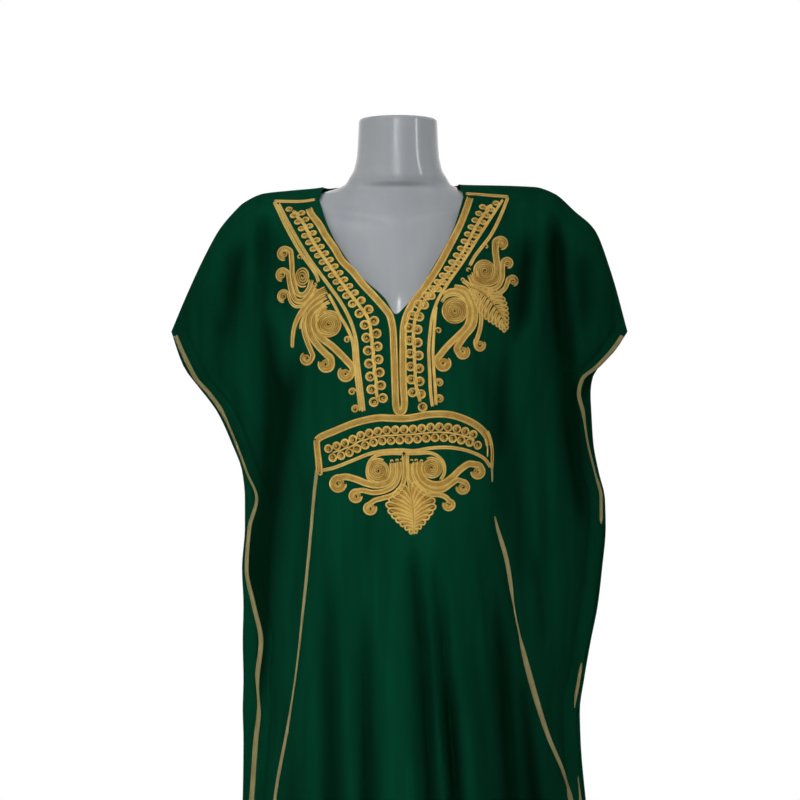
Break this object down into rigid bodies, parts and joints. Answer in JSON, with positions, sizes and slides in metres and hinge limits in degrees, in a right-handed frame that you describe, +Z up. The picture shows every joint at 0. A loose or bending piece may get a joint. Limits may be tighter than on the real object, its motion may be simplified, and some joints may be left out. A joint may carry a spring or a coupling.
{
  "type": "kandura on a dress form",
  "caption": "Long green kandura with cap sleeves, a V neck and couched gold cord work, dressed on a glossy limbless display form on a stand.",
  "frame": {"origin": "on the floor, at the centre of the underside of the round base", "axes": "+Z up along the pole, the front of the garment faces -Y, the wearer's left side is +X"},
  "size_m": [0.634, 0.34, 1.541],
  "materials": {
    "cloth": "dark green woven cloth with a slight sheen",
    "braid": "flat gold thread braid",
    "gold_cord": "couched twisted gold cord",
    "form_plastic": "glossy grey, slightly see-through",
    "stand_metal": "satin"
  },
  "bodies": {
    "root": {"front_panel_upper": "cloth", "front_panel_lower": "cloth", "back_panel_upper_left": "cloth", "back_panel_upper_right": "cloth", "back_panel_lower": "cloth", "edge_braid_front_left": "braid", "edge_braid_front_right": "braid", "edge_braid_back_left": "braid", "edge_braid_back_right": "braid", "skirt_braid_left": "braid", "skirt_braid_right": "braid", "neck_border_outer_left": "gold_cord", "neck_border_outer_right": "gold_cord", "neck_border_edge_left": "gold_cord", "neck_border_edge_right": "gold_cord", "neck_loops_left": "gold_cord", "neck_loops_right": "gold_cord", "breast_motif_left": "gold_cord", "breast_motif_right": "gold_cord", "band_frame": "gold_cord", "band_loops": "gold_cord", "band_motif": "gold_cord", "display_form": "form_plastic", "stand_pole": "stand_metal", "stand_base": "stand_metal"}
  },
  "joints": []
}
